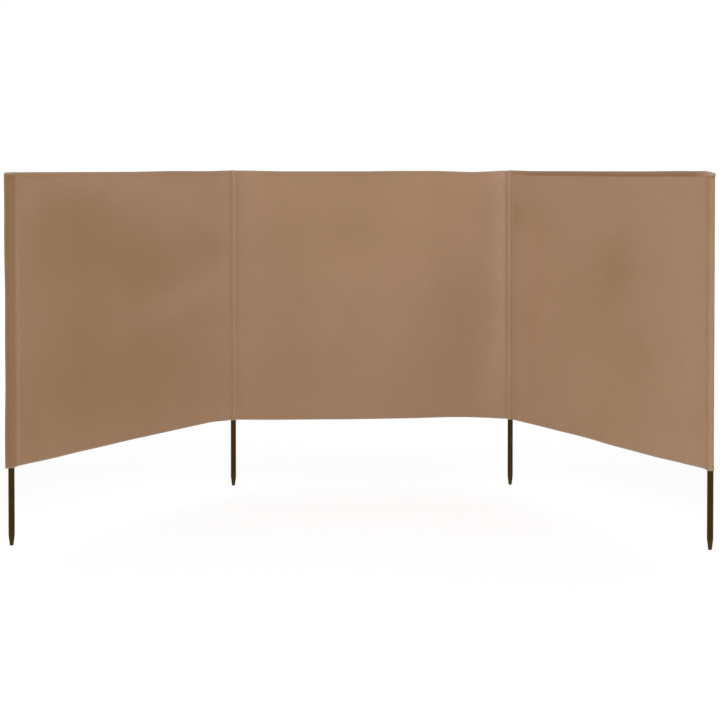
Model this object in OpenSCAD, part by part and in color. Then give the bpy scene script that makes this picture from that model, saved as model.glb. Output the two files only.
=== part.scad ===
// Three-bay garden windbreak: woven fabric carried in sewn pockets on four round steel posts.
// Millimetres, +Z up. X runs along the middle bay and the wings come forward, towards -Y.
// The origin is on the flat tip of the left inner post, the end that goes into the ground.

/* [Layout] */
// Distance between the axes of two neighbouring posts
bay_pitch = 1333; // [800:1:2000]
// Angle by which the left wing is turned forward out of the line of the middle bay
left_wing_angle = 52; // [0:1:90]
// Angle by which the right wing is turned forward out of the line of the middle bay
right_wing_angle = 60; // [0:1:90]

/* [Fabric] */
// Height of the fabric from its bottom edge to its top edge
fabric_h = 1200; // [500:1:1800]
// Thickness of one ply of the fabric
ply_t = 0.8; // [0.5:0.1:1.5]
// Height of the hems turned to the back along the top and the bottom
hem_h = 20; // [10:1:40]
// Plies that a hem lays behind the sheet
hem_plies = 2; // [1:1:3]
// Distance that a hem stops short of the pocket on an inner post
hem_setback = 12; // [10:1:40]

/* [Pockets] */
// Room between a post and the pocket round it, on each side
pocket_room = 0.5; // [0.3:0.1:2]
// Distance from an end post's axis to the seam that closes its pocket
end_seam_reach = 32; // [28:1:60]
// Distance from the left end post's axis to the loose outer fold of its pocket
left_fold_reach = 36; // [28:1:60]
// Width of the seam allowance beyond an end pocket's seam
seam_allowance = 8; // [4:1:20]
// Gap left where a sheet is sewn to a pocket
sewn_gap = 0.3; // [0.2:0.1:0.8]

/* [Posts] */
// Outside diameter of a post
post_d = 25; // [18:1:36]
// Wall of the post's tube
post_wall = 1; // [0.8:0.1:2.5]
// Length of a post below the fabric, tip included
stake_h = 315; // [150:1:600]
// Diameter of the flat tip before its edge is rounded
tip_d = 15; // [10:1:16]
// Height of the taper above the tip
tip_h = 42; // [20:1:80]
// Thickness of the metal that closes the tip
tip_floor = 3; // [2:0.5:8]
// Radius that eases the shoulder between the tube and the taper
shoulder_r = 60; // [10:5:60]
// Radius on the edge of the flat tip
tip_edge_r = 2; // [0.5:0.5:3]

/* [Hidden] */
$fn = 64;

fabric_colour = "#9f8067";
hem_colour = "#8d6c50";
post_colour = "#42301c";

// The pocket's closed top is one ply thick and rests on the end of the post.
post_r = post_d / 2;
bore_r = post_r - post_wall;
post_h = stake_h + fabric_h - ply_t;
fabric_top = stake_h + fabric_h;

// The taper is tangent to both roundings.
tip_r = tip_d / 2;
taper_a = atan((post_r - tip_r) / tip_h);
shoulder_z = tip_h + shoulder_r * tan(taper_a / 2);
tip_flat_r = tip_r - tip_edge_r * tan((90 - taper_a) / 2);

pocket_r = post_r + pocket_room;
pocket_outer_r = pocket_r + ply_t;
tail_a = asin(pocket_outer_r / end_seam_reach);
// The inside of a pocket is its outline at this share of its size.
lining = pocket_r / pocket_outer_r;

hem_t = hem_plies * ply_t;
sheet_start = pocket_outer_r + sewn_gap;
hem_start = pocket_outer_r + hem_setback;
wing_end = bay_pitch - end_seam_reach - seam_allowance - sewn_gap;

// How far a cut runs past the face that it opens.
cut_past = 1;
// Straight steps that stand for one rounding of the post's outline.
arc_steps = 4;

function arc(centre, r, a0, a1) =
  [for (i = [0:arc_steps])
    let (a = a0 + (a1 - a0) * i / arc_steps)
    centre + r * [cos(a), sin(a)]];

// Half of the post's section: tube, swaged taper and closed flat tip.
post_outline = concat(
  [[0, 0]],
  arc([tip_flat_r, tip_edge_r], tip_edge_r, -90, -taper_a),
  arc([post_r - shoulder_r, shoulder_z], shoulder_r, -taper_a, 0),
  [[post_r, post_h], [bore_r, post_h], [bore_r, shoulder_z]],
  [[tip_r - post_wall, tip_floor], [0, tip_floor]]
);

// A wing lies along +X from its inner post, with its back to +Y, before it is turned and placed.
module on_left_wing() {
  mirror([1, 0, 0])
    rotate([0, 0, -left_wing_angle])
      children();
}

module on_right_wing() {
  translate([bay_pitch, 0, 0])
    rotate([0, 0, -right_wing_angle])
      children();
}

module at_wing_end() {
  translate([bay_pitch, 0, 0])
    children();
}

module post() {
  rotate_extrude()
    polygon(post_outline);
}

// Round pocket of an inner post, closed at the top. A wing turns about it.
module round_pocket() {
  difference() {
    translate([0, 0, stake_h])
      cylinder(r = pocket_outer_r, h = fabric_h);
    translate([0, 0, stake_h - cut_past])
      cylinder(r = pocket_r, h = fabric_h - ply_t + cut_past);
  }
}

// Outline of an end pocket: the sheet goes round the post, or on to a loose fold, and back to its seam.
module pocket_outline(r, seam_reach, fold_reach) {
  hull() {
    circle(r = r);
    polygon([[-seam_reach, 0], [0, -r / 2], [fold_reach, 0], [0, r / 2]]);
  }
}

module end_pocket(fold_reach) {
  translate([0, 0, stake_h])
    difference() {
      linear_extrude(height = fabric_h) {
        pocket_outline(pocket_outer_r, end_seam_reach, fold_reach);
        translate([-end_seam_reach - seam_allowance, -ply_t])
          square([seam_allowance + ply_t / tan(tail_a), 2 * ply_t]);
      }
      translate([0, 0, -cut_past])
        linear_extrude(height = fabric_h - ply_t + cut_past)
          pocket_outline(pocket_r, end_seam_reach * lining, fold_reach * lining);
    }
}

module sheet(x0, x1) {
  translate([x0, -ply_t / 2, stake_h])
    cube([x1 - x0, ply_t, fabric_h]);
}

// Section of a hem whose folded edge is up: y runs to the back and z up from the hem's stitching.
module hem_section() {
  square([hem_t, hem_h - hem_t]);
  translate([0, hem_h - hem_t])
    intersection() {
      circle(r = hem_t);
      square(hem_t);
    }
}

module hem(x0, x1) {
  translate([x0, ply_t / 2, 0])
    rotate([90, 0, 90])
      linear_extrude(height = x1 - x0)
        hem_section();
}

module top_hem(x0, x1) {
  translate([0, 0, fabric_top - hem_h])
    hem(x0, x1);
}

module bottom_hem(x0, x1) {
  translate([0, 0, stake_h + hem_h])
    mirror([0, 0, 1])
      hem(x0, x1);
}

module left_end_post() {
  color(post_colour)
    on_left_wing()
      at_wing_end()
        post();
}

module left_inner_post() {
  color(post_colour)
    post();
}

module right_inner_post() {
  color(post_colour)
    translate([bay_pitch, 0, 0])
      post();
}

module right_end_post() {
  color(post_colour)
    on_right_wing()
      at_wing_end()
        post();
}

module left_end_pocket() {
  color(fabric_colour)
    on_left_wing()
      at_wing_end()
        end_pocket(left_fold_reach);
}

module left_inner_pocket() {
  color(fabric_colour)
    round_pocket();
}

module right_inner_pocket() {
  color(fabric_colour)
    translate([bay_pitch, 0, 0])
      round_pocket();
}

module right_end_pocket() {
  color(fabric_colour)
    on_right_wing()
      at_wing_end()
        end_pocket(pocket_outer_r);
}

module left_panel() {
  color(fabric_colour)
    on_left_wing()
      sheet(sheet_start, wing_end);
}

module middle_panel() {
  color(fabric_colour)
    sheet(sheet_start, bay_pitch - sheet_start);
}

module right_panel() {
  color(fabric_colour)
    on_right_wing()
      sheet(sheet_start, wing_end);
}

module left_top_hem() {
  color(hem_colour)
    on_left_wing()
      top_hem(hem_start, wing_end);
}

module middle_top_hem() {
  color(hem_colour)
    top_hem(hem_start, bay_pitch - hem_start);
}

module right_top_hem() {
  color(hem_colour)
    on_right_wing()
      top_hem(hem_start, wing_end);
}

module left_bottom_hem() {
  color(hem_colour)
    on_left_wing()
      bottom_hem(hem_start, wing_end);
}

module middle_bottom_hem() {
  color(hem_colour)
    bottom_hem(hem_start, bay_pitch - hem_start);
}

module right_bottom_hem() {
  color(hem_colour)
    on_right_wing()
      bottom_hem(hem_start, wing_end);
}

left_end_post();
left_inner_post();
right_inner_post();
right_end_post();
left_end_pocket();
left_inner_pocket();
right_inner_pocket();
right_end_pocket();
left_panel();
middle_panel();
right_panel();
left_top_hem();
middle_top_hem();
right_top_hem();
left_bottom_hem();
middle_bottom_hem();
right_bottom_hem();
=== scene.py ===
import math
import bmesh
import bpy
from mathutils import Matrix, Vector


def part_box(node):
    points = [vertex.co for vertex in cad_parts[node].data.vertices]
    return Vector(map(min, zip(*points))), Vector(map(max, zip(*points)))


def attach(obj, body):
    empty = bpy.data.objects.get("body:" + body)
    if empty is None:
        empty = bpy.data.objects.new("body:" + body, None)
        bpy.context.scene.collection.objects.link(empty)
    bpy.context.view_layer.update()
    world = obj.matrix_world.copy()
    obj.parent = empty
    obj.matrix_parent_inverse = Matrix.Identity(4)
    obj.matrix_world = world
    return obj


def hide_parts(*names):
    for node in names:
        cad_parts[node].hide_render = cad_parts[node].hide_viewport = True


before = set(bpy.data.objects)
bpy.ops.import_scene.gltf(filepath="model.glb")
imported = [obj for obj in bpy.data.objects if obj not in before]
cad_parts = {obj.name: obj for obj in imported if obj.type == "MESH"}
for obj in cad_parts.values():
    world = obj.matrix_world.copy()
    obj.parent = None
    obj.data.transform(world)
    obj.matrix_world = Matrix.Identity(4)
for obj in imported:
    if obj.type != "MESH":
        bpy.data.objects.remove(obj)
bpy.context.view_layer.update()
scene = bpy.context.scene
scene.view_settings.view_transform = "Standard"
mm = 0.001
upward = Vector((0, 0, 1))
print("frame loaded,", len(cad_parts), "nodes")


# Where the posts and the cloth stand, read from the frame.
def postAxis(node):
    low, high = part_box(node)
    return Vector(((low.x + high.x) / 2, (low.y + high.y) / 2, 0))


def makeBay(startNode, endNode, backTurn):
    start, end = postAxis(startNode), postAxis(endNode)
    along = (end - start).normalized()
    back = Vector((-along.y, along.x, 0)) * backTurn
    return {"start": start, "along": along, "back": back, "span": (end - start).length}


def inBay(bay, reach, depth, height):
    return bay["start"] + bay["along"] * reach + bay["back"] * depth + upward * height


bays = {
    "left": makeBay("left_inner_post", "left_end_post", -1),
    "middle": makeBay("left_inner_post", "right_inner_post", 1),
    "right": makeBay("right_inner_post", "right_end_post", 1),
}
wingSides = ("left", "right")
fabricLow, fabricHigh = (corner.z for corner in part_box("middle_panel"))
fabricHeight = fabricHigh - fabricLow
ply = 0.8 * mm
pocketLow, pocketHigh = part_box("left_inner_pocket")
sleeveRadius = (pocketHigh.x - pocketLow.x - ply) / 2  # to the middle of the pocket's ply


# Helpers for node trees.
def feed(tree, node, inputs):  # links sockets, and sets numbers and colours
    for name, value in inputs.items():
        if isinstance(value, bpy.types.NodeSocket):
            tree.links.new(value, node.inputs[name])
        else:
            node.inputs[name].default_value = value


def addNode(tree, kind, inputs, **settings):
    made = tree.nodes.new("ShaderNode" + kind)
    for name, value in settings.items():
        setattr(made, name, value)
    feed(tree, made, inputs)
    return made


def addMath(tree, operation, first, second=0.0, clamp=False):
    inputs = {0: first, 1: second}
    return addNode(tree, "Math", inputs, operation=operation, use_clamp=clamp).outputs[0]


def addMix(tree, share, first, second, blend="MIX"):
    inputs = {0: share, 6: first, 7: second}  # the places of the colour sockets
    return addNode(tree, "Mix", inputs, data_type="RGBA", blend_type=blend).outputs[2]


def addNoise(tree, vector, scale, detail=2.0, roughness=0.5):
    inputs = {"Vector": vector, "Scale": scale, "Detail": detail, "Roughness": roughness}
    return addNode(tree, "TexNoise", inputs).outputs["Fac"]


def addStretch(tree, vector, factors):
    return addNode(tree, "Mapping", {"Vector": vector, "Scale": factors}).outputs["Vector"]


def addAttribute(tree, name):
    return addNode(tree, "Attribute", {}, attribute_name=name).outputs["Fac"]


def addRange(tree, value, span, result):
    inputs = dict(zip(("From Min", "From Max", "To Min", "To Max"), span + result), Value=value)
    return addNode(tree, "MapRange", inputs).outputs["Result"]


def addBump(tree, height, finish):
    inputs = {"Height": height, "Strength": finish["bump"], "Distance": finish["bumpDepth"]}
    return addNode(tree, "Bump", inputs).outputs["Normal"]


def objectPlace(tree):
    return addNode(tree, "TexCoord", {}).outputs["Object"]


# Camera, light and floor.
camera = {
    "lens": 70.98,
    "place": (0.5183, -6.8112, 1.5634),
    "lookDown": 1.0,  # degrees
    "turn": -0.761,
    "shift": -0.2429,  # keeps the posts upright in the picture
}
studio = {
    "white": (1, 1, 1, 1),
    "fill": 0.44,
    "suns": {  # soft lamps, one square to each wing and one behind
        "leftKey": {"strength": 1.45, "softness": 55, "from": (-0.80, -0.62, 0.55)},
        "rightKey": {"strength": 1.28, "softness": 55, "from": (0.75, -0.70, 0.55)},
        "backLamp": {"strength": 0.80, "softness": 70, "from": (0.20, 0.90, 0.60)},
    },
    "floorSize": 60.0,
    "floorDrop": 1 * mm,  # below the post tips
    "floorColour": (0.80, 0.80, 0.80, 1),
    "floorShadowed": 0.25,  # share of the floor's white that a shadow can take
    "floorGlow": 0.78,
}


def makeCamera():
    data = bpy.data.cameras.new("camera")
    data.lens = camera["lens"]
    data.shift_y = camera["shift"]
    viewer = bpy.data.objects.new("camera", data)
    viewer.location = camera["place"]
    viewer.rotation_euler = (math.radians(90 - camera["lookDown"]), 0, math.radians(camera["turn"]))
    scene.collection.objects.link(viewer)
    scene.camera = viewer


def seenDirectly(tree):  # 1 on rays from the camera, on reflections and through glass
    path = addNode(tree, "LightPath", {})
    straight = addMath(tree, "MAXIMUM", path.outputs["Is Camera Ray"], path.outputs["Is Glossy Ray"])
    return addMath(tree, "MAXIMUM", straight, path.outputs["Is Transmission Ray"])


def mixSeen(tree, target, plain, seen):  # one shader lights the object, the other is seen
    mix = addNode(tree, "MixShader", {0: seenDirectly(tree), 1: plain.outputs[0], 2: seen.outputs[0]})
    addNode(tree, "Output" + target, {"Surface": mix.outputs[0]})


def addSky(tree, strength):
    return addNode(tree, "Background", {"Color": studio["white"], "Strength": strength})


def makeWorld():
    world = bpy.data.worlds.new("studio")
    world.use_nodes = True
    tree = world.node_tree
    tree.nodes.clear()
    mixSeen(tree, "World", addSky(tree, studio["fill"]), addSky(tree, 1.0))
    scene.world = world


def makeSun(name, lamp):
    data = bpy.data.lights.new(name, "SUN")
    data.energy = lamp["strength"]
    data.angle = math.radians(lamp["softness"])
    sun = bpy.data.objects.new(name, data)
    sun.rotation_euler = Vector(lamp["from"]).to_track_quat("Z", "Y").to_euler()
    scene.collection.objects.link(sun)


def makeFloor():
    material = bpy.data.materials.new("paleFloor")
    material.use_nodes = True
    tree = material.node_tree
    tree.nodes.clear()
    plain = addNode(tree, "BsdfDiffuse", {"Color": studio["floorColour"]})
    veil = addNode(tree, "BsdfDiffuse", {"Color": (studio["floorShadowed"],) * 3 + (1,)})
    glow = addNode(tree, "Emission", {"Strength": studio["floorGlow"]})
    pale = addNode(tree, "AddShader", {0: veil.outputs[0], 1: glow.outputs[0]})
    mixSeen(tree, "Material", plain, pale)
    bm = bmesh.new()
    bmesh.ops.create_grid(bm, x_segments=1, y_segments=1, size=studio["floorSize"])
    bmesh.ops.translate(bm, vec=upward * -studio["floorDrop"], verts=bm.verts)
    mesh = bpy.data.meshes.new("floor")
    bm.to_mesh(mesh)
    bm.free()
    mesh.materials.append(material)
    floor = bpy.data.objects.new("floor", mesh)
    scene.collection.objects.link(floor)


makeCamera()
makeWorld()
for lampName, lamp in studio["suns"].items():
    makeSun(lampName, lamp)
makeFloor()
print("camera, light and floor made")


# Materials.
commonNoise = (0.3, 0.7)  # most of a noise's values lie between these


def fromScreen(red, green, blue):  # a screen colour of 0 to 255 as a linear one
    def channel(value):
        share = value / 255
        return share / 12.92 if share <= 0.04045 else ((share + 0.055) / 1.055) ** 2.4
    return (channel(red), channel(green), channel(blue), 1)


def newMaterial(name, finish):
    material = bpy.data.materials.new(name)
    material.use_nodes = True
    shader = material.node_tree.nodes["Principled BSDF"]
    shader.inputs["Specular IOR Level"].default_value = finish["specular"]
    return material, material.node_tree, shader


weave = {
    "threads": 900.0,  # per metre
    "slubLength": 14.0,
    "slubWidth": 520.0,
    "slubSpan": (-0.4, 0.4),  # from thin to thick places
    "slubRoughness": (0.92, 0.74),
    "cloudSize": 2.1,
    "cloudDetail": 3.0,
    "cloudRoughness": 0.55,
    "cloudShare": 0.16,
    "baseShade": 0.44,  # how far plain cloth already goes towards its shaded tone
    "threadShade": 0.10,
    "slubShade": 0.14,
}


def makeWeaveGroup():
    group = bpy.data.node_groups.new("plainWeave", "ShaderNodeTree")
    for name in ("Cloth", "Shaded", "ShadowTone", "EdgeGreyTone"):
        group.interface.new_socket(name, in_out="INPUT", socket_type="NodeSocketColor")
    for name, kind in (("Color", "Color"), ("Roughness", "Float"), ("Height", "Float")):
        group.interface.new_socket(name, in_out="OUTPUT", socket_type="NodeSocket" + kind)
    entry = group.nodes.new("NodeGroupInput")
    leave = group.nodes.new("NodeGroupOutput")
    flat = addNode(group, "UVMap", {}, uv_map="weave").outputs["UV"]
    # over and under threads, then thick and thin places along them
    turns = weave["threads"] * math.pi
    threads = addNode(group, "SeparateXYZ", {0: addStretch(group, flat, (turns, turns, 1))})
    across = addMath(group, "SINE", threads.outputs["X"])
    up = addMath(group, "SINE", threads.outputs["Y"])
    checker = addMath(group, "MULTIPLY", across, up)
    length, width = weave["slubLength"], weave["slubWidth"]
    slubAcross = addNoise(group, addStretch(group, flat, (length, width, 1)), 1.0)
    slubUp = addNoise(group, addStretch(group, flat, (width, length, 1)), 1.0)
    slub = addMath(group, "ADD", slubAcross, addMath(group, "SUBTRACT", slubUp, 1.0))
    # soft clouds of tone by chance, then the listed spots of painted shade, which paint light where their
    # amount is negative
    chance = addNoise(group, objectPlace(group), weave["cloudSize"], weave["cloudDetail"],
                      weave["cloudRoughness"])
    cloudRange = (weave["baseShade"], weave["baseShade"] + weave["cloudShare"])
    cloud = addRange(group, chance, commonNoise, cloudRange)
    shade = addMath(group, "ADD", cloud, addAttribute(group, "shade"), clamp=True)
    colour = addMix(group, shade, entry.outputs["Cloth"], entry.outputs["Shaded"])
    # painted shadow: the shadow tone over the hem band and its foot, round the left end pocket and under
    # the right pocket's turned top
    colour = addMix(group, addAttribute(group, "paintedShadow"), colour, entry.outputs["ShadowTone"])
    colour = addMix(group, addAttribute(group, "edgeGrey"), colour, entry.outputs["EdgeGreyTone"])
    fine = addMath(group, "ADD", addMath(group, "MULTIPLY", checker, weave["threadShade"]),
                   addMath(group, "MULTIPLY", slub, weave["slubShade"]))
    lift = addMath(group, "ADD", fine, 1.0)
    bright = addNode(group, "CombineColor", {0: lift, 1: lift, 2: lift}).outputs[0]
    feed(group, leave, {
        "Color": addMix(group, 1.0, colour, bright, "MULTIPLY"),
        "Roughness": addRange(group, slub, weave["slubSpan"], weave["slubRoughness"]),
        "Height": addMath(group, "ADD", checker, slub),
    })
    return group


clothFinish = {"specular": 0.1, "sheen": 0.03, "sheenRoughness": 0.6, "bump": 0.35, "bumpDepth": 0.25 * mm}
clothTones = {
    "Cloth": (180, 146, 123),
    "Shaded": (146, 115, 82),
    "ShadowTone": (131, 98, 62),
    "EdgeGreyTone": (158, 143, 128),
}
hemTones = {
    "Cloth": (177, 143, 119),
    "Shaded": (144, 113, 82),
    "ShadowTone": (131, 98, 62),
    "EdgeGreyTone": (156, 141, 126),
}


def makeCloth(name, tones):
    material, tree, shader = newMaterial(name, clothFinish)
    colours = {socket: fromScreen(*tone) for socket, tone in tones.items()}
    group = addNode(tree, "Group", colours, node_tree=weaveGroup)
    feed(tree, shader, {
        "Base Color": group.outputs["Color"],
        "Roughness": group.outputs["Roughness"],
        "Normal": addBump(tree, group.outputs["Height"], clothFinish),
        "Sheen Weight": clothFinish["sheen"],
        "Sheen Roughness": clothFinish["sheenRoughness"],
    })
    return material


thread = {
    "light": (150, 120, 94),
    "dark": (112, 84, 60),
    "twist": 900.0,
    "specular": 0.35,
    "roughness": (0.5, 0.7),
    "bump": 0.5, "bumpDepth": 0.1 * mm,
}


def makeThread():
    material, tree, shader = newMaterial("sewingThread", thread)
    twist = addNoise(tree, objectPlace(tree), thread["twist"], 1.0)
    feed(tree, shader, {
        "Base Color": addMix(tree, twist, fromScreen(*thread["dark"]), fromScreen(*thread["light"])),
        "Roughness": addRange(tree, twist, commonNoise, thread["roughness"]),
        "Normal": addBump(tree, twist, thread),
    })
    return material


coat = {
    "brown": (68, 48, 11),
    "deep": (48, 32, 5),
    "tintSize": 14.0,
    "tintDetail": 4.0,
    "peel": 420.0,
    "scuffed": (104, 92, 74),
    "scuffTop": 75 * mm,  # the scuffs fade out above this height
    "scratches": (420, 420, 26),  # long ones, down the post
    "scratchDetail": 3.0,
    "scratchRoughness": 0.6,
    "scratchSpan": (0.50, 0.66),
    "scuffShare": 0.8,
    "specular": 0.05,
    "roughness": (0.40, 0.52),
    "scuffRoughness": 0.2,  # added where it is scuffed
    "bump": 0.25, "bumpDepth": 0.15 * mm,
}


def makePowderCoat():
    material, tree, shader = newMaterial("brownPowderCoat", coat)
    place = objectPlace(tree)
    height = addNode(tree, "SeparateXYZ", {0: place}).outputs["Z"]
    peel = addNoise(tree, place, coat["peel"])
    tint = addNoise(tree, place, coat["tintSize"], coat["tintDetail"])
    downPost = addStretch(tree, place, coat["scratches"])
    scratches = addNoise(tree, downPost, 1.0, coat["scratchDetail"], coat["scratchRoughness"])
    nearTip = addRange(tree, height, (0.0, coat["scuffTop"]), (1.0, 0.0))
    scraped = addRange(tree, scratches, coat["scratchSpan"], (0.0, coat["scuffShare"]))
    worn = addMath(tree, "MULTIPLY", nearTip, scraped)
    colour = addMix(tree, tint, fromScreen(*coat["deep"]), fromScreen(*coat["brown"]))
    rough = addRange(tree, peel, commonNoise, coat["roughness"])
    rougher = addMath(tree, "MULTIPLY", worn, coat["scuffRoughness"])
    feed(tree, shader, {
        "Base Color": addMix(tree, worn, colour, fromScreen(*coat["scuffed"])),
        "Roughness": addMath(tree, "ADD", rough, rougher),
        "Normal": addBump(tree, peel, coat),
    })
    return material


weaveGroup = makeWeaveGroup()
clothWeave = makeCloth("taupeWeave", clothTones)
hemWeave = makeCloth("hemWeave", hemTones)
sewingThread = makeThread()
powderCoat = makePowderCoat()
print("materials made")


# Making cloth: a grid is laid where a function says, then given its thickness.
weld = 0.02 * mm  # closer points are one
rowGap = 1 * mm  # an even row gives way to a named one that is nearer than this
edgeGreyness = {"share": 0.8, "reach": 9 * mm}  # folded edges turn greyer


def ease(share):
    share = min(1.0, max(0.0, share))
    return share * share * (3 - 2 * share)


def onProfile(points, share):  # eased value between the two points on either side
    for (before, low), (after, high) in zip(points, points[1:]):
        if share <= after:
            return low + (high - low) * ease((share - before) / (after - before))
    return points[-1][1]


def onLine(points, share):  # a point at a share of a line's steps
    place = share * (len(points) - 1)
    index = min(int(place), len(points) - 2)
    return points[index].lerp(points[index + 1], place - index)


def runningLengths(points):
    lengths = [0.0]
    for before, after in zip(points, points[1:]):
        lengths.append(lengths[-1] + (after - before).length)
    return lengths


def alongLine(points, lengths, distance):  # the point at a distance, and the normal to its left
    for before, after, start, end in zip(points, points[1:], lengths, lengths[1:]):
        if distance <= end:
            break
    ahead = (after - before).normalized()
    return before + ahead * (distance - start), Vector((-ahead.y, ahead.x))


def softSpot(spot, u, v):  # a soft oval: centre, half sizes, turn in degrees and amount
    centreU, centreV, sizeU, sizeV, turn, amount = spot
    cosine, sine = math.cos(math.radians(turn)), math.sin(math.radians(turn))
    du, dv = u - centreU, v - centreV
    across = (du * cosine + dv * sine) / sizeU
    up = (dv * cosine - du * sine) / sizeV
    return amount * math.exp(-across * across - up * up)


def edgeGreyShare(distance):  # by the distance from a folded edge
    return edgeGreyness["share"] * ease(1 - distance / edgeGreyness["reach"])


def rowShares(count, length, edges):  # even shares of a length, and rows at the given distances
    even = [row / count for row in range(count + 1)]
    kept = [share for share in even if all(abs(share * length - edge) > rowGap for edge in edges)]
    return sorted(kept + [edge / length for edge in edges])


def layCloth(cols, rows, unroll, place, tone, wrapped=False):
    bm = bmesh.new()
    weaveMap = bm.loops.layers.uv.new("weave")
    shade = bm.verts.layers.float.new("shade")
    paintedShadow = bm.verts.layers.float.new("paintedShadow")
    edgeGrey = bm.verts.layers.float.new("edgeGrey")
    bmesh.ops.create_grid(bm, x_segments=cols, y_segments=rows, size=0.5)
    for face in bm.faces:
        for loop in face.loops:
            loop[weaveMap].uv = unroll(loop.vert.co.x + 0.5, loop.vert.co.y + 0.5)
    for vert in bm.verts:
        u, v = vert.co.x + 0.5, vert.co.y + 0.5
        vert[shade], vert[paintedShadow], vert[edgeGrey] = tone(u, v)
        vert.co = place(u, v)
    if wrapped:
        bmesh.ops.remove_doubles(bm, verts=bm.verts, dist=weld)
    bmesh.ops.recalc_face_normals(bm, faces=bm.faces)
    return bm


def thicken(bm, thickness):  # half to each side of the laid surface
    bm.normal_update()
    for vert in bm.verts:
        vert.co += vert.normal * (thickness / 2)
    bmesh.ops.solidify(bm, geom=bm.faces[:], thickness=thickness)


def joinInto(bm, part):  # adds a finished part and frees it
    spare = bpy.data.meshes.new("spare")
    part.to_mesh(spare)
    part.free()
    bm.from_mesh(spare)
    bpy.data.meshes.remove(spare)


def makePiece(bm, name, material, body, nodes=(), sharp=50):
    bm.normal_update()
    for edge in bm.edges:
        edge.smooth = edge.calc_face_angle(0) < math.radians(sharp)
    for face in bm.faces:
        face.smooth = True
    mesh = bpy.data.meshes.new(name)
    bm.to_mesh(mesh)
    bm.free()
    mesh.materials.append(material)
    piece = bpy.data.objects.new(name, mesh)
    scene.collection.objects.link(piece)
    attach(piece, body)
    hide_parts(*nodes)
    return piece


# Posts: tubes swaged to a blunt tip.
post = {
    "tipFlat": 5.7 * mm,
    "tipRadius": 7.5 * mm,
    "tipRound": 2 * mm, "tipSteps": 4,
    "taper": 42 * mm,
    "shoulder": 60 * mm, "shoulderSteps": 5,  # radius that eases the taper into the tube
    "wall": 1 * mm,
    "boreDepth": 60 * mm,
    "rimRound": 0.5 * mm, "rimSteps": 3,
    "sides": 48,
    "sharp": 40,  # degrees
}
postNodes = {  # body, and how far the tube stops below its pocket's slanting top
    "left_end_post": ("left_wing", 0),
    "left_inner_post": ("middle_bay", 0),
    "right_inner_post": ("middle_bay", 0),
    "right_end_post": ("right_wing", 7 * mm),
}


def arcPoints(centre, radius, fromAngle, toAngle, steps):
    angles = [math.radians(fromAngle + (toAngle - fromAngle) * i / steps) for i in range(steps + 1)]
    return [Vector((centre[0] + radius * math.cos(a), 0, centre[1] + radius * math.sin(a))) for a in angles]


def postOutline(radius, top):  # from the middle of the tip, up the outside and into the bore
    slope = math.degrees(math.atan((radius - post["tipRadius"]) / post["taper"]))
    tip, shoulder, rim = post["tipRound"], post["shoulder"], post["rimRound"]
    shoulderHeight = post["taper"] + shoulder * math.tan(math.radians(slope / 2))
    bore, boreFloor = radius - post["wall"], top - post["boreDepth"]
    outline = [Vector((0, 0, 0))]
    outline += arcPoints((post["tipFlat"], tip), tip, -90, -slope, post["tipSteps"])
    outline += arcPoints((radius - shoulder, shoulderHeight), shoulder, -slope, 0, post["shoulderSteps"])
    outline += arcPoints((radius - rim, top - rim), rim, 0, 90, post["rimSteps"])
    return outline + [Vector((bore, 0, top)), Vector((bore, 0, boreFloor)), Vector((0, 0, boreFloor))]


def makePost(node, body, drop):
    low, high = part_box(node)
    bm = bmesh.new()
    verts = [bm.verts.new(point) for point in postOutline((high.x - low.x) / 2, high.z - drop)]
    edges = [bm.edges.new(pair) for pair in zip(verts, verts[1:])]
    bmesh.ops.spin(bm, geom=verts + edges, cent=(0, 0, 0), axis=(0, 0, 1), angle=2 * math.pi,
                   steps=post["sides"], use_merge=True)
    bmesh.ops.remove_doubles(bm, verts=bm.verts, dist=weld)
    bmesh.ops.recalc_face_normals(bm, faces=bm.faces)
    bmesh.ops.translate(bm, vec=postAxis(node), verts=bm.verts)
    return makePiece(bm, node.replace("post", "tube"), powderCoat, body, (node,), post["sharp"])


tubes = [makePost(node, *place) for node, place in postNodes.items()]
print("posts made,", len(tubes))


# Panels: the three stretched sheets, in shares from the inner post outwards and from the bottom up.
leftPanel = {
    "bay": "left", "body": "left_wing", "endsAtPost": False,
    # edges in mm above the straight edge, swells in mm to the back, spots of painted shade in shares of the
    # shaded tone, painted light where negative
    "bottomEdge": [(0, 3), (0.12, 12), (0.47, 10), (0.72, 6), (0.88, 2), (1, 2)],
    "topEdge": [(0, 0), (0.14, -2), (0.3, 0), (0.5, -2), (1, 0)],
    "swells": [
        (0.55, 0.72, 0.34, 0.16, 20, 8), (0.45, 0.46, 0.32, 0.11, 20, -7),
        (0.50, 0.22, 0.36, 0.15, 12, 9), (0.15, 0.50, 0.10, 0.40, 0, -3),
    ],
    "paintedShadeSpots": [
        (0.60, 0.20, 0.80, 0.40, 0, 0.10), (0.58, 0.68, 0.38, 0.17, 18, 0.31),
        (0.54, 0.23, 0.44, 0.20, 8, 0.24), (0.10, 0.72, 0.14, 0.06, 10, 0.12),
        (0.30, 0.90, 0.30, 0.07, 20, -0.02), (0.02, 0.50, 0.05, 1.00, 0, -0.16),
        (0.10, 0.45, 0.07, 0.50, 0, -0.07), (0.97, 0.66, 0.14, 0.16, 0, 0.12),
        (0.28, 0.51, 0.30, 0.07, -13, -0.18), (0.76, 0.87, 0.20, 0.07, 0, 0.12),
        (0.70, 0.46, 0.15, 0.10, 0, 0.13), (0.96, 0.06, 0.06, 0.12, 0, 0.13),
        (0.97, 0.90, 0.08, 0.06, 0, -0.08),
    ],
    "topLean": 0.0, "topBand": 0.05,
}
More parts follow.
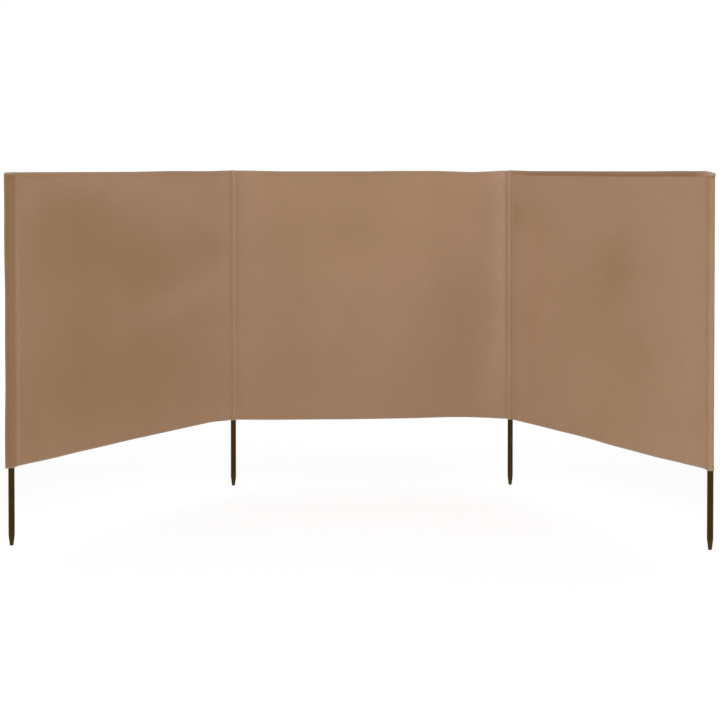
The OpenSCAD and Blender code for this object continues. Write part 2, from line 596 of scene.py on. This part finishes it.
middlePanel = {
    "bay": "middle", "body": "middle_bay", "endsAtPost": True,
    "bottomEdge": [(0, 1.5), (0.14, 0), (0.35, 1.5), (0.62, 4), (0.83, 8), (0.92, 6), (1, 3)],
    "topEdge": [(0, 0), (0.2, -4), (0.45, -4), (0.62, -2), (0.72, -2), (0.87, -7), (1, -1)],
    "swells": [
        (0.80, 0.12, 0.20, 0.28, -8, 24), (0.38, 0.56, 0.34, 0.12, 22, -7),
        (0.45, 0.85, 0.30, 0.12, 8, 6), (0.18, 0.22, 0.14, 0.26, 0, 5),
    ],
    "paintedShadeSpots": [
        (0.80, 0.34, 0.08, 0.30, 0, 0.07), (0.40, 0.10, 0.40, 0.24, 0, 0.07),
        (0.35, 0.80, 0.34, 0.08, 14, 0.10), (0.60, 0.56, 0.40, 0.10, 22, -0.03),
        (0.97, 0.70, 0.05, 0.60, 0, -0.29), (0.99, 0.70, 0.03, 0.60, 0, -0.29),
        (0.04, 0.60, 0.07, 0.60, 0, -0.15), (0.36, 1.00, 0.40, 0.12, 0, 0.17),
        (0.87, 0.74, 0.10, 0.14, 0, -0.12), (0.46, 0.72, 0.14, 0.08, 14, 0.11),
        (0.46, 0.42, 0.10, 0.10, 0, 0.07),
    ],
    "topLean": 0.0, "topBand": 0.05,
}
rightPanel = {
    "bay": "right", "body": "right_wing", "endsAtPost": False,
    "bottomEdge": [(0, 2), (0.2, 4), (0.42, 6), (0.58, 1.5), (0.78, 1), (0.9, 2.5), (1, 5)],
    "topEdge": [(0, 0), (0.13, -1.5), (0.4, 0), (0.65, 1.5), (0.92, 5), (1, 5.5)],
    "swells": [
        (0.25, 0.60, 0.16, 0.34, 0, 6), (0.58, 0.58, 0.12, 0.30, 8, 7), (0.76, 0.40, 0.07, 0.45, 0, -5),
        (0.90, 0.42, 0.05, 0.50, 0, 4), (0.42, 0.20, 0.16, 0.18, 0, -5),
    ],
    "paintedShadeSpots": [
        (0.03, 0.82, 0.04, 0.05, 0, 0.18), (0.20, 0.74, 0.16, 0.12, 0, 0.07),
        (0.53, 0.64, 0.08, 0.12, 0, 0.13), (0.36, 0.30, 0.34, 0.50, 0, 0.10),
        (0.06, 0.50, 0.05, 0.60, 0, -0.06), (0.62, 0.70, 0.08, 0.22, 0, 0.10),
        (0.93, 0.40, 0.04, 0.60, 0, -0.04), (0.66, 0.20, 0.26, 0.30, 0, 0.09),
    ],
    "topLean": 0.22, "topBand": 0.50,
}
panels = {panel["bay"]: panel for panel in (leftPanel, middlePanel, rightPanel)}
panelCloth = {
    "cols": 190, "rows": 180,
    "edgeRows": [3 * mm, 8 * mm, 17 * mm, 22 * mm, 24 * mm],  # from the folded edge
    "hem": 20 * mm,
    "stitchLine": 17 * mm,  # from the folded edge
    "edgeRoll": 1.0 * mm,  # what the hem's fold covers of the sheet
    "sideFade": 0.12,  # share over which swells come in
}
pucker = {  # little gathers that a line of stitches draws up
    "size": 0.6 * mm, "step": 36 * mm, "reach": 22 * mm, "flat": 7 * mm,
    "wander": 1.4, "wanderRate": 27,
    "seam": 12 * mm, "seamFade": 20 * mm, "hemFade": 30 * mm,
    "innerPhase": 0.4, "outerPhase": 2.1, "topPhase": 1.2, "bottomPhase": 3.3,
}
fan = {  # pull lines that spread from a sewn corner
    "size": 0.5 * mm, "reach": 85 * mm, "rays": 13.0, "start": 25 * mm,
    "topPhases": (0.0, 1.1), "bottomPhases": (2.3, 0.7),
}
band = {  # painted shade over the hem at the top of a panel
    "end": 24 * mm, "edge": 2 * mm,
    "start": 0.25, "startReach": 0.3,  # it comes in from the inner post
    "line": 0.5, "lineHalf": 5 * mm, "lineFrom": 0.35, "lineReach": 0.3,  # a painted shadow line at its foot
    "fade": 0.85, "fadeFrom": 0.955, "fadeReach": 0.026,  # before the end pocket
}
endSleeve = {
    "seamReach": 34 * mm,  # from the post's axis to the seam
    "allowance": 8 * mm,
    "sheetGap": 1 * mm,  # the sheet ends this far before the seam
    "leftFold": 30 * mm,  # the left pocket goes on to a loose fold, the right one is snug
    "slopeSteps": 6, "arcSteps": 12,
    "foldHalf": 0.6,  # of a ply, just inside the loose fold
    "topRound": 2.2 * mm,
    "cuff": 20 * mm, "topFold": 15 * mm,
    "foldRows": [-9 * mm, -4 * mm, 0, 0.6 * mm, 8 * mm],  # about the lower edge of the turned top
    "ear": 4 * mm, "earDrop": 26 * mm,  # the corner of the right pocket's closed top stands out
    "foldPly": 1.2 * mm, "foldStitches": 4 * mm,  # from the turned edge
    "swings": [(1.5 * mm, 5.5), (0.8 * mm, 17)],  # of the loose fold, size and rate
    "slack": 0.02, "slackUp": 23, "slackOut": 90,
    # tops in mm outward of the axis and mm above the straight edge
    "leftTop": [(-40, 0), (14, 0), (24, -1.5), (30, -5)],
    "rightTop": [(-40, 5.5), (-20, 3.5), (-2, -1.5), (18, -7)],
}


def panelSpan(panel):
    span = bays[panel["bay"]]["span"]
    start = sleeveRadius - ply / 2
    end = span - start if panel["endsAtPost"] else span - endSleeve["seamReach"] - endSleeve["sheetGap"]
    return start, end


def panelEdges(panel, share):
    low = fabricLow + onProfile(panel["bottomEdge"], share) * mm
    high = fabricHigh + onProfile(panel["topEdge"], share) * mm
    return low, high


def puckered(distance, place, phase):
    wander = pucker["wander"] * math.sin(place * pucker["wanderRate"] + phase)
    wave = math.sin(place / pucker["step"] * 2 * math.pi + wander)
    beyond = max(0.0, distance - pucker["flat"]) / pucker["reach"]
    return pucker["size"] * wave * math.exp(-beyond * beyond)


def cornerFan(right, up, phase):
    distance = math.hypot(right, up) / fan["reach"]
    rays = math.sin(math.atan2(up, right) * fan["rays"] + phase)
    return fan["size"] * rays * distance * math.exp(1 - distance) * ease(min(right, up) / fan["start"])


def panelDepth(panel, reach, height):
    start, end = panelSpan(panel)
    share = (reach - start) / (end - start)
    low, high = panelEdges(panel, share)
    up = (height - low) / (high - low)
    fade = ease(share / panelCloth["sideFade"]) * ease((1 - share) / panelCloth["sideFade"])
    depth = fade * mm * sum(softSpot(spot, share, up) for spot in panel["swells"])
    sides = ((reach - start, pucker["innerPhase"]), (end - reach, pucker["outerPhase"]))
    for fromSide, phase in sides:
        depth += puckered(fromSide - pucker["seam"], height, phase) * ease(fromSide / pucker["seamFade"])
    inner = ease((reach - start) / pucker["hemFade"]) * ease((end - reach) / pucker["hemFade"])
    depth += inner * puckered(abs(high - panelCloth["stitchLine"] - height), reach, pucker["topPhase"])
    depth += inner * puckered(abs(low + panelCloth["stitchLine"] - height), reach, pucker["bottomPhase"])
    corners = (max(0.0, reach - start), max(0.0, end - reach))
    for across, topPhase, bottomPhase in zip(corners, fan["topPhases"], fan["bottomPhases"]):
        depth += cornerFan(across, max(0.0, high - height), topPhase)
        depth += cornerFan(across, max(0.0, height - low), bottomPhase)
    lean = max(0.0, height - (high - panelCloth["hem"]))
    return depth - panel["topLean"] * lean * inner


def onPanel(panel, reach, height, offset=0.0):
    return inBay(bays[panel["bay"]], reach, panelDepth(panel, reach, height) + offset, height)


def bandStart(share):
    return ease(band["start"] + share / band["startReach"])


def bandTone(panel, share, fromTop):
    tone = panel["topBand"] * ease((band["end"] - fromTop) / band["edge"]) * bandStart(share)
    tone *= 1 - band["fade"] * ease((share - band["fadeFrom"]) / band["fadeReach"])
    line = ease(1 - abs(fromTop - panelCloth["hem"]) / band["lineHalf"])
    line *= ease((share - band["lineFrom"]) / band["lineReach"])
    return tone + panel["topBand"] * band["line"] * line


def makePanel(panel):
    start, end = panelSpan(panel)
    roll = panelCloth["edgeRoll"]
    edgeRows = panelCloth["edgeRows"] + [fabricHeight - edge for edge in panelCloth["edgeRows"]]
    shares = rowShares(panelCloth["rows"], fabricHeight, edgeRows)
    rows = len(shares) - 1

    def spot(u, v):
        low, high = panelEdges(panel, u)
        return start + (end - start) * u, low + roll + (high - low - 2 * roll) * shares[round(v * rows)]

    def place(u, v):
        return onPanel(panel, *spot(u, v))

    def tone(u, v):
        height = spot(u, v)[1]
        low, high = panelEdges(panel, u)
        shade = sum(softSpot(cloud, u, shares[round(v * rows)]) for cloud in panel["paintedShadeSpots"])
        edgeGrey = edgeGreyShare(min(high - height, height - low))
        return shade, bandTone(panel, u, high - height), edgeGrey

    def unroll(u, v):
        return u * (end - start), shares[round(v * rows)] * fabricHeight

    bm = layCloth(panelCloth["cols"], rows, unroll, place, tone)
    thicken(bm, ply)
    side = panel["bay"]
    return makePiece(bm, side + "_cloth", clothWeave, panel["body"], (side + "_panel",))


cloths = {side: makePanel(panel) for side, panel in panels.items()}
print("panels made,", len(cloths))


# Hems: the edge is turned to the back and rolls over the top and the bottom of each sheet.
hem = {
    "front": -0.45 * mm, "back": 2.0 * mm, "seat": 0.42 * mm,  # depths behind the sheet's middle
    "fold": 1.2 * mm, "foldSteps": 6,
    "backRows": (0.35, 0.7),  # shares of the hem's height
    "turnStart": 1 * mm, "turnIn": 0.5 * mm,  # the rounded lower edge, at the back
    "turnEnd": 0.8 * mm, "turnOut": 0.4 * mm,  # and at the sheet
    "seatRow": 0.5, "seatTop": 2 * mm,
    "clear": 2.4 * mm,  # of the pocket and the stitches on an inner post
    "flatEnd": 30 * mm,  # over which the hem flattens into the pocket's seam
    "flatShare": 0.45,
    "rows": 200,
}


def hemSection():  # depth and distance from the folded edge, once round
    front, back, seat, deep = hem["front"], hem["back"], hem["seat"], panelCloth["hem"]
    centre, half = (front + back) / 2, (back - front) / 2
    angles = [math.pi * i / hem["foldSteps"] for i in range(hem["foldSteps"] + 1)]
    roll = [(centre - half * math.cos(a), hem["fold"] * (1 - math.sin(a))) for a in angles]
    down = [(back, deep * row) for row in hem["backRows"]] + [(back, deep - hem["turnStart"])]
    turn = [(back - hem["turnIn"], deep), (seat + hem["turnOut"], deep), (seat, deep - hem["turnEnd"])]
    up = [(seat, deep * hem["seatRow"]), (seat, hem["seatTop"])]
    return [Vector(point) for point in roll + down + turn + up + roll[:1]]


def makeHem(panel, atTop):
    start, sheetEnd = panelSpan(panel)
    seam = bays[panel["bay"]]["span"] - endSleeve["seamReach"]
    first = start + hem["clear"]
    last = sheetEnd - hem["clear"] if panel["endsAtPost"] else seam - endSleeve["allowance"]
    section = hemSection()
    lengths = runningLengths(section)

    def place(u, v):
        depth, drop = onLine(section, u)
        reach = first + (last - first) * v
        low, high = panelEdges(panel, (reach - start) / (sheetEnd - start))
        height = high - drop if atTop else low + drop
        nearest = min(reach - first, last - reach) if panel["endsAtPost"] else reach - first
        flatten = hem["flatShare"] + (1 - hem["flatShare"]) * ease(nearest / hem["flatEnd"])
        if depth > hem["seat"]:
            depth = hem["seat"] + (depth - hem["seat"]) * flatten
        return onPanel(panel, reach, height, depth)

    def tone(u, v):
        # painted shade on the top hem, as over the band of its panel
        dark = panel["topBand"] * bandStart(v) if atTop else 0.0
        return 0.0, dark, edgeGreyShare(onLine(section, u)[1])

    def unroll(u, v):
        return v * (last - first), lengths[round(u * (len(section) - 1))]

    bm = layCloth(len(section) - 1, hem["rows"], unroll, place, tone, wrapped=True)
    bmesh.ops.holes_fill(bm, edges=[edge for edge in bm.edges if edge.is_boundary], sides=0)
    bmesh.ops.recalc_face_normals(bm, faces=bm.faces)
    name = panel["bay"] + ("_top" if atTop else "_bottom")
    return makePiece(bm, name + "_fold", hemWeave, panel["body"], (name + "_hem",))


hems = {side: [makeHem(panel, True), makeHem(panel, False)] for side, panel in panels.items()}
print("hems made,", sum(len(pair) for pair in hems.values()))


# Pockets on the inner posts: round tubes of cloth, closed at the top.
innerSleeve = {
    "sides": 40, "rows": 170, "topRows": 6,
    "edgeRows": [3 * mm, 9 * mm], "rimRow": 6 * mm,  # from the bottom, from the top
    "bottomRise": 1.5 * mm,
    "cuff": 20 * mm, "cuffPly": 0.6 * mm,
    "foldEdge": 0.6 * mm,
    "topRound": 2.2 * mm, "dome": 0.8 * mm,
    # painted light on the inner pocket, more towards its top, against the shadow beside it
    "shade": -0.04, "topShade": -0.15,
}
wrinkle = {  # long slow folds and short gathers
    "size": 0.3 * mm, "wander": 2,
    "slowShare": 0.6, "slowFolds": 3, "slowRate": 7,
    "gatherShare": 0.4, "gatherStep": 34 * mm, "gatherRate": 19,
}


def cuffRows(cuff):  # distances from the bottom, the turned-up cloth's edge among them
    return innerSleeve["edgeRows"] + [cuff, cuff + innerSleeve["foldEdge"]]


def cuffStep(height, low, cuff):  # 1 inside the turned-up bottom, 0 above it
    return 1 - ease((height - low - cuff) / innerSleeve["foldEdge"])


def closingTop(step):  # angle of the bend over the rim, then the share of the way to the middle
    return min(1.0, 2 * step) * math.pi / 2, max(0.0, 2 * step - 1)


def upSleeve(row, shares):  # running length up the cloth, over the closed top too
    sideRows = len(shares) - 1
    above = max(0, row - sideRows) / innerSleeve["topRows"] * sleeveRadius
    return shares[min(row, sideRows)] * fabricHeight + above


def sleeveWrinkle(turn, height, phase):
    slowWander = wrinkle["wander"] * math.sin(height * wrinkle["slowRate"] + phase)
    gatherWander = wrinkle["wander"] * math.sin(height * wrinkle["gatherRate"] + phase)
    slow = math.sin(wrinkle["slowFolds"] * turn + slowWander)
    gathers = math.sin(height / wrinkle["gatherStep"] * 2 * math.pi + gatherWander + turn)
    return wrinkle["size"] * (wrinkle["slowShare"] * slow + wrinkle["gatherShare"] * gathers)


def makeInnerSleeve(side):
    node = side + "_inner_pocket"
    axis = postAxis(node)
    curve = innerSleeve["topRound"]
    low, rim = fabricLow + innerSleeve["bottomRise"], fabricHigh - curve
    edgeRows = cuffRows(innerSleeve["cuff"]) + [rim - low - innerSleeve["rimRow"]]
    shares = rowShares(innerSleeve["rows"], rim - low, edgeRows)
    sideRows, topRows = len(shares) - 1, innerSleeve["topRows"]
    rows = sideRows + topRows
    flat = (2 * math.pi * sleeveRadius, fabricHeight)

    def place(u, v):
        turn = 2 * math.pi * u
        row = round(v * rows)
        if row <= sideRows:
            height = low + (rim - low) * shares[row]
            radius = sleeveRadius + sleeveWrinkle(turn, height, axis.x)
            radius += innerSleeve["cuffPly"] * cuffStep(height, low, innerSleeve["cuff"])
        else:
            bend, inward = closingTop((row - sideRows) / topRows)
            radius = (sleeveRadius - curve) * (1 - inward) + curve * math.cos(bend)
            height = rim + curve * math.sin(bend) + innerSleeve["dome"] * ease(inward)
        return axis + Vector((radius * math.cos(turn), radius * math.sin(turn), height))

    def tone(u, v):
        share = shares[min(round(v * rows), sideRows)]
        shade = innerSleeve["shade"] + innerSleeve["topShade"] * share
        return shade, 0.0, edgeGreyShare(min(share, 1 - share) * fabricHeight)

    def unroll(u, v):
        return u * flat[0], upSleeve(round(v * rows), shares)

    bm = layCloth(innerSleeve["sides"], rows, unroll, place, tone, wrapped=True)
    thicken(bm, ply)
    sleeve = makePiece(bm, side + "_inner_sleeve", clothWeave, "middle_bay", (node,))
    return sleeve


# Pockets on the end posts: the sheet goes round the post and comes back to a seam.
def sleeveFold(side):
    return endSleeve["leftFold"] if side == "left" else sleeveRadius


def sleeveProfile(fold):  # from the seam round the post, back side first, as (outward, back)
    radius, seam, allowance = sleeveRadius, endSleeve["seamReach"], endSleeve["allowance"]
    steps = endSleeve["slopeSteps"]
    touch = (-radius * radius / seam, radius * math.sqrt(1 - (radius / seam) ** 2))  # it meets the post
    tail = [Vector((-seam - allowance, ply)), Vector((-seam - allowance / 2, ply))]
    tail += [Vector((-seam, ply)).lerp(Vector(touch), i / steps) for i in range(steps)]
    first = math.degrees(math.atan2(touch[1], touch[0]))
    last = 0.0 if fold <= radius else math.degrees(math.acos(radius / fold))
    arc = [point.xz for point in arcPoints((0, 0), radius, first, last, endSleeve["arcSteps"])]
    side = tail + arc
    if fold > radius:
        crease = Vector((fold - ply, ply * endSleeve["foldHalf"]))
        side += [arc[-1].lerp(crease, i / steps) for i in range(1, steps + 1)]
        side += [Vector((fold, 0))]
    front = [Vector((point.x, -point.y)) for point in reversed(side[:-1])]
    return side + front


def loosened(side, spot, height, turned):  # a little slack, and thicker where it is turned
    outward, back = spot
    if outward < -endSleeve["seamReach"]:
        return spot
    swing = sum(size * math.sin(height * rate) for size, rate in endSleeve["swings"])
    outward += swing * ease((outward - sleeveRadius) / (sleeveFold(side) - sleeveRadius + mm))
    if side == "right":
        nearTop = ease(1 - (fabricHigh - height) / endSleeve["earDrop"])
        outward += endSleeve["ear"] * nearTop * ease(outward / sleeveRadius)
    slack = math.sin(height * endSleeve["slackUp"] + outward * endSleeve["slackOut"])
    back *= 1 + endSleeve["slack"] * slack
    return outward, back * (1 + turned * endSleeve["foldPly"] / sleeveRadius)


endTone = {
    "allowance": -0.07,
    "leftPaintedShade": [(-34, 0), (-8, 0.42), (6, 0.68), (18, 0.8), (30, 1)],  # painted shade round the left pocket, darker towards its outer fold: mm outward, share of the shadow tone
    "lightTop": 14 * mm,
    "foldGrey": 0.6,
    "right": 0.12,
    # painted light beside the right pocket's seam, against the shadow of the crease, and on its turned top
    "paintedSeamLight": 0.2, "seamReach": 12 * mm,
    "paintedTopLight": 0.37,
    "underTop": 11 * mm, "underShare": 0.3, "underCorner": 0.5,  # painted shadow in the corner below the turned top
}


def leftTone(outward, fromTop, edgeGrey):
    paintedShadow = onProfile(endTone["leftPaintedShade"], outward / mm) * ease(fromTop / endTone["lightTop"])
    foldGrey = edgeGreyShare(endSleeve["leftFold"] - outward) * endTone["foldGrey"]
    return 0.0, paintedShadow, max(edgeGrey, foldGrey)


def rightTone(outward, fromTop, edgeGrey):
    fromSeam = outward + endSleeve["seamReach"]
    inTop = 1 if fromTop < endSleeve["topFold"] - innerSleeve["foldEdge"] / 2 else 0
    under = ease(1 - (fromTop - endSleeve["topFold"]) / endTone["underTop"]) * (1 - inTop)
    corner = endTone["underShare"] + endTone["underCorner"] * ease(outward / sleeveRadius)
    light = endTone["paintedSeamLight"] * math.exp(-(fromSeam / endTone["seamReach"]) ** 2)
    return endTone["right"] - light - endTone["paintedTopLight"] * inTop, under * corner, edgeGrey


def makeEndSleeve(side):
    bay = bays[side]
    node = side + "_end_pocket"
    profile = sleeveProfile(sleeveFold(side))
    lengths = runningLengths(profile)
    low = fabricLow + panels[side]["bottomEdge"][-1][1] * mm
    foldLine = fabricHigh - endSleeve["topFold"]
    edgeRows = cuffRows(endSleeve["cuff"]) + [foldLine - low + row for row in endSleeve["foldRows"]]
    shares = rowShares(innerSleeve["rows"], fabricHigh - low, edgeRows)
    sideRows, topRows = len(shares) - 1, innerSleeve["topRows"]
    rows = sideRows + topRows

    def place(u, v):
        outward, back = onLine(profile, u)
        row = round(v * rows)
        high = fabricHigh + onProfile(endSleeve[side + "Top"], outward / mm) * mm
        curve = min(endSleeve["topRound"], abs(back))
        plain = low + (fabricHigh - low) * shares[min(row, sideRows)]
        overFold = max(0.0, plain - foldLine) / endSleeve["topFold"]
        height = min(plain, foldLine) + (high - curve - foldLine) * overFold
        turned = cuffStep(plain, low, endSleeve["cuff"])
        turned += 1 - cuffStep(plain, fabricHigh, -endSleeve["topFold"])
        outward, back = loosened(side, (outward, back), height, turned)
        if row > sideRows:
            bend, inward = closingTop((row - sideRows) / topRows)
            flatPart = (abs(back) - curve) * (1 - inward) + curve * math.cos(bend)
            back = math.copysign(flatPart, back)
            height += curve * math.sin(bend)
        return inBay(bay, bay["span"] + outward, back, height)

    def tone(u, v):
        outward = onLine(profile, u)[0]
        share = shares[min(round(v * rows), sideRows)]
        edgeGrey = edgeGreyShare(min(share, 1 - share) * fabricHeight)
        if outward + endSleeve["seamReach"] < 0:
            return endTone["allowance"], 0.0, edgeGrey
        sideTone = leftTone if side == "left" else rightTone
        return sideTone(outward, (1 - share) * fabricHeight, edgeGrey)

    def unroll(u, v):
        return lengths[round(u * (len(profile) - 1))], upSleeve(round(v * rows), shares)

    bm = layCloth(len(profile) - 1, rows, unroll, place, tone, wrapped=True)
    thicken(bm, ply)
    sleeve = makePiece(bm, side + "_end_sleeve", clothWeave, side + "_wing", (node,))
    return sleeve


sleeves = [makeInnerSleeve(side) for side in wingSides] + [makeEndSleeve(side) for side in wingSides]
print("pockets made,", len(sleeves))


# Seam strips: the pocket's cloth is sewn flat to the sheet on both sides of an inner post.
seamStrip = {
    "width": 12 * mm,
    "lift": [(0, 1.1), (0.2, 0.9), (0.45, 0.8), (1, 0.8)],  # mm off the sheet, from the pocket outwards
    "inset": 1 * mm,  # from the sheet's top and bottom
    "cols": 6, "rows": 190,
    "light": 0.28,  # painted light beside the pocket, against the shadow of the crease
    "stitches": 6.5 * mm,  # from the pocket
}


def layStrip(panel, atFarPost, face):  # face is -1 in front of the sheet and 1 behind it
    span = bays[panel["bay"]]["span"]
    low, high = panelEdges(panel, 1.0 if atFarPost else 0.0)

    def place(u, v):
        fromPost = sleeveRadius + seamStrip["width"] * u
        reach = span - fromPost if atFarPost else fromPost
        height = low + seamStrip["inset"] + (high - low - 2 * seamStrip["inset"]) * v
        lift = onProfile(seamStrip["lift"], u) * mm
        return onPanel(panel, reach, height, face * lift)

    def tone(u, v):
        return -seamStrip["light"] * (1 - u), 0.0, 0.0

    def unroll(u, v):
        return seamStrip["width"] * u, fabricHeight * v

    strip = layCloth(seamStrip["cols"], seamStrip["rows"], unroll, place, tone)
    thicken(strip, ply)
    return strip


def makeSeamStrip(panel, name, atFarPost):
    bm = bmesh.new()
    for face in (-1, 1):
        joinInto(bm, layStrip(panel, atFarPost, face))
    return makePiece(bm, name, clothWeave, panel["body"])


strips = {
    "left": [makeSeamStrip(leftPanel, "left_wing_seam", False)],
    "middle": [
        makeSeamStrip(middlePanel, "middle_left_seam", False),
        makeSeamStrip(middlePanel, "middle_right_seam", True),
    ],
    "right": [makeSeamStrip(rightPanel, "right_wing_seam", False)],
}
print("seam strips made,", sum(len(made) for made in strips.values()))


# Stitching: short raised threads along every seam and hem.
stitch = {
    "length": 3.4 * mm, "width": 0.8 * mm, "height": 0.6 * mm,
    "step": 4.6 * mm,
    "lift": 0.12 * mm,  # of a stitch's middle above the cloth
    "sides": 5, "rings": 4,
    "hemStart": 16 * mm,  # from the inner pocket
    "endGap": 2 * mm,  # from a seam allowance
    "seamStart": 4 * mm,  # from the sheet's top and bottom
    "sharp": 180,  # degrees
}


def stitchRow(length):
    bm = bmesh.new()
    bmesh.ops.create_uvsphere(bm, u_segments=stitch["sides"], v_segments=stitch["rings"], radius=0.5)
    bmesh.ops.scale(bm, vec=(stitch["height"], stitch["width"], stitch["length"]), verts=bm.verts)
    bmesh.ops.rotate(bm, cent=(0, 0, 0), matrix=Matrix.Rotation(math.pi / 2, 3, "Y"), verts=bm.verts)
    count = 1
    while count * stitch["step"] < length:  # doubles the row until it is long enough
        more = bmesh.ops.duplicate(bm, geom=bm.verts[:] + bm.edges[:] + bm.faces[:])["geom"]
        moved = [item for item in more if isinstance(item, bmesh.types.BMVert)]
        bmesh.ops.translate(bm, vec=(count * stitch["step"], 0, 0), verts=moved)
        count *= 2
    last = int(length / stitch["step"])
    surplus = [vert for vert in bm.verts if round(vert.co.x / stitch["step"]) > last]
    bmesh.ops.delete(bm, geom=surplus, context="VERTS")
    return bm


def hemRow(panel, atTop, face):
    start, end = panelSpan(panel)
    first = start + stitch["hemStart"]
    last = end - (stitch["hemStart"] if panel["endsAtPost"] else endSleeve["allowance"] + stitch["endGap"])
    offset = -ply / 2 - stitch["lift"] if face < 0 else hem["back"] + stitch["lift"]

    def place(x):
        reach = first + x
        low, high = panelEdges(panel, (reach - start) / (end - start))
        height = high - panelCloth["stitchLine"] if atTop else low + panelCloth["stitchLine"]
        return onPanel(panel, reach, height, offset), upward, bays[panel["bay"]]["back"] * face
    return last - first, place


def seamRow(panel, reach, face, lift):
    bay = bays[panel["bay"]]
    start, end = panelSpan(panel)
    low, high = panelEdges(panel, (reach - start) / (end - start))

    def place(x):
        point = onPanel(panel, reach, low + stitch["seamStart"] + x, face * lift)
        return point, bay["along"], bay["back"] * face
    return high - low - 2 * stitch["seamStart"], place


def endSleeveRow(side, height):  # round an end pocket, from seam to seam
    bay = bays[side]
    profile = sleeveProfile(sleeveFold(side))
    lengths = runningLengths(profile)
    skipped = endSleeve["allowance"] + stitch["endGap"]

    def place(x):
        spot, out = alongLine(profile, lengths, skipped + x)
        spot = Vector(loosened(side, spot, height, 1)) + out * (ply / 2 + stitch["lift"])
        facing = bay["along"] * out.x + bay["back"] * out.y
        return inBay(bay, bay["span"] + spot.x, spot.y, height), upward, facing
    return lengths[-1] - 2 * skipped, place


def innerSleeveRow(side, height):  # round the cuff of an inner pocket
    axis = postAxis(side + "_inner_pocket")
    proud = innerSleeve["cuffPly"] + ply / 2 + stitch["lift"]

    def place(x):
        turn = x / sleeveRadius
        out = Vector((math.cos(turn), math.sin(turn), 0))
        radius = sleeveRadius + sleeveWrinkle(turn, height, axis.x) + proud
        return axis + out * radius + upward * height, upward, out
    return 2 * math.pi * sleeveRadius - stitch["step"] / 2, place


def stitchRows(panel):
    side, span = panel["bay"], bays[panel["bay"]]["span"]
    rows = [hemRow(panel, atTop, face) for atTop in (True, False) for face in (-1, 1)]
    nearPost = sleeveRadius + seamStrip["stitches"]
    onStrip = seamStrip["lift"][-1][1] * mm + ply / 2 + stitch["lift"]
    rows += [seamRow(panel, nearPost, face, onStrip) for face in (-1, 1)]
    cuffLine = fabricLow + panelCloth["stitchLine"]
    if panel["endsAtPost"]:
        rows += [seamRow(panel, span - nearPost, face, onStrip) for face in (-1, 1)]
        rows += [innerSleeveRow(wing, cuffLine + innerSleeve["bottomRise"]) for wing in wingSides]
    else:
        topLine = fabricHigh - endSleeve["topFold"] + endSleeve["foldStitches"]
        cuffLine += panel["bottomEdge"][-1][1] * mm
        rows += [endSleeveRow(side, height) for height in (cuffLine, topLine)]
        flange = span - endSleeve["seamReach"] - endSleeve["allowance"] / 2
        rows += [seamRow(panel, flange, face, 1.5 * ply + stitch["lift"]) for face in (-1, 1)]
    return rows


def makeStitching(panel):
    bm = bmesh.new()
    for length, place in stitchRows(panel):
        row = stitchRow(length)
        for vert in row.verts:
            point, across, out = place(min(length, max(0.0, vert.co.x)))
            vert.co = point + across * vert.co.y + out * vert.co.z
        joinInto(bm, row)
    bmesh.ops.recalc_face_normals(bm, faces=bm.faces)
    name = panel["bay"] + "_stitching"
    return makePiece(bm, name, sewingThread, panel["body"], sharp=stitch["sharp"])


stitching = {side: makeStitching(panel) for side, panel in panels.items()}
for side, panel in panels.items():
    start, end = panelSpan(panel)
print("stitching made,", sum(len(piece.data.polygons) for piece in stitching.values()), "faces")
